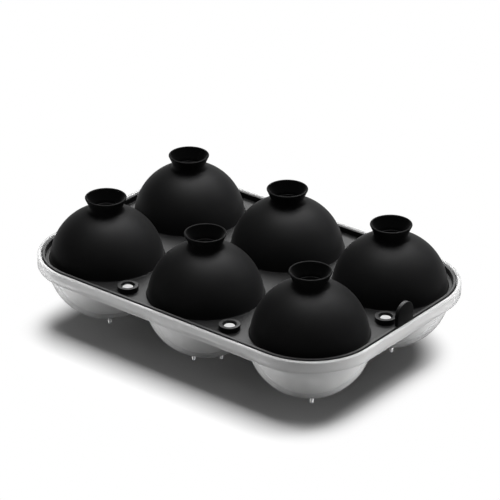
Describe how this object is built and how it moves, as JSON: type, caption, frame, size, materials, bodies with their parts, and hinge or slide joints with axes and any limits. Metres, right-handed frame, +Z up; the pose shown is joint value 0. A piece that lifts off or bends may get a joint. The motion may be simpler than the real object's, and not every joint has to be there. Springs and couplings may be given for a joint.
{
  "type": "ice ball mold",
  "caption": "Clear tray of half-round cups under a soft black lid of domes with filling funnels, for freezing round balls of ice.",
  "frame": {"origin": "middle of the surface that the feet stand on", "axes": "+X along the long side to the end with the pull tab, +Y to the rear, +Z up"},
  "size_m": [0.232, 0.157, 0.0771],
  "materials": {
    "clear_plastic": "clear, slightly milky, smooth",
    "black_silicone": "satin matte"
  },
  "bodies": {
    "tray": {"tray_deck": "clear_plastic", "tray_rim": "clear_plastic", "locking_studs": "clear_plastic", "cup_front_left": "clear_plastic", "cup_front_middle": "clear_plastic", "cup_front_right": "clear_plastic", "cup_rear_left": "clear_plastic", "cup_rear_middle": "clear_plastic", "cup_rear_right": "clear_plastic", "feet_front_left": "clear_plastic", "feet_front_middle": "clear_plastic", "feet_front_right": "clear_plastic", "feet_rear_left": "clear_plastic", "feet_rear_middle": "clear_plastic", "feet_rear_right": "clear_plastic"},
    "lid": {"lid_deck": "black_silicone", "lid_lip": "black_silicone", "stud_grommets": "black_silicone", "dome_front_left": "black_silicone", "dome_front_middle": "black_silicone", "dome_front_right": "black_silicone", "dome_rear_left": "black_silicone", "dome_rear_middle": "black_silicone", "dome_rear_right": "black_silicone", "funnel_front_left": "black_silicone", "funnel_front_middle": "black_silicone", "funnel_front_right": "black_silicone", "funnel_rear_left": "black_silicone", "funnel_rear_middle": "black_silicone", "funnel_rear_right": "black_silicone"},
    "tab": {"pull_tab": "black_silicone"}
  },
  "joints": [
    {"name": "lid_lift", "type": "slide", "parent": "tray", "child": "lid", "axis": [0, 0, 1], "range_m": [0, 0.08]},
    {"name": "tab_bend", "type": "hinge", "parent": "lid", "child": "tab", "pos_m": [0.1122, 0, 0.04355], "axis": [0, 1, 0], "range_deg": [-60, 75], "stiffness_Nm_per_rad": 0.005}
  ]
}
